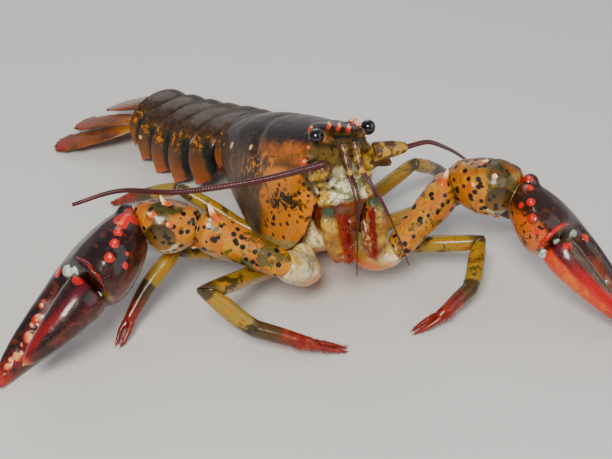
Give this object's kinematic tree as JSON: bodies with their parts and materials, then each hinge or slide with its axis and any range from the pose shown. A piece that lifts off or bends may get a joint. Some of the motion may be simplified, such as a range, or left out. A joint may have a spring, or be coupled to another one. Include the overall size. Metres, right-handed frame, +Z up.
{
  "type": "american lobster",
  "caption": "Life-size american lobster standing on its walking legs, head raised, large claws resting on the ground in front, tail swung to one side.",
  "frame": {"origin": "On the floor, under the middle of the animal's box", "axes": "+Z up, -Y the way the head points, +X the animal's left"},
  "size_m": [0.2894, 0.3112, 0.0976],
  "materials": {
    "shell_brown": "satin",
    "underside_cream": "satin",
    "eye_black": "glossy",
    "feeler_red": "satin",
    "shell_orange": "satin",
    "leg_olive": "satin",
    "claw_brown": "satin",
    "claw_red": "satin"
  },
  "bodies": {
    "root": {"carapace": "shell_brown", "thorax_underside": "underside_cream", "face": "underside_cream", "eyestalk_right": "shell_brown", "eye_right": "eye_black", "eyestalk_left": "shell_brown", "eye_left": "eye_black", "antennule_right": "feeler_red", "antennule_left": "feeler_red", "antenna_root_right": "shell_orange", "antenna_right": "feeler_red", "antenna_root_left": "shell_orange", "antenna_left": "feeler_red", "maxilliped_right": "leg_olive", "maxilliped_left": "leg_olive", "cheliped_right_root": "underside_cream", "cheliped_right_merus": "shell_orange", "cheliped_right_carpus": "shell_orange", "claw_right": "claw_brown", "claw_finger_right": "claw_red", "cheliped_left_root": "underside_cream", "cheliped_left_merus": "shell_orange", "cheliped_left_carpus": "shell_orange", "claw_left": "claw_brown", "claw_finger_left": "claw_red", "leg_right_2_upper": "leg_olive", "leg_right_2_lower": "leg_olive", "leg_right_3_upper": "leg_olive", "leg_right_3_lower": "leg_olive", "leg_right_4_upper": "leg_olive", "leg_right_4_lower": "leg_olive", "leg_right_5_upper": "leg_olive", "leg_right_5_lower": "leg_olive", "leg_left_2_upper": "leg_olive", "leg_left_2_lower": "leg_olive", "leg_left_3_upper": "leg_olive", "leg_left_3_lower": "leg_olive", "leg_left_4_upper": "leg_olive", "leg_left_4_lower": "leg_olive", "leg_left_5_upper": "leg_olive", "leg_left_5_lower": "leg_olive", "abdomen_1": "shell_brown", "abdomen_2": "shell_brown", "abdomen_3": "shell_brown", "abdomen_4": "shell_brown", "abdomen_5": "shell_brown", "abdomen_6": "shell_brown", "telson": "shell_orange", "uropod_inner_right": "shell_orange", "uropod_outer_right": "shell_orange", "uropod_inner_left": "shell_orange", "uropod_outer_left": "shell_orange"}
  },
  "joints": []
}
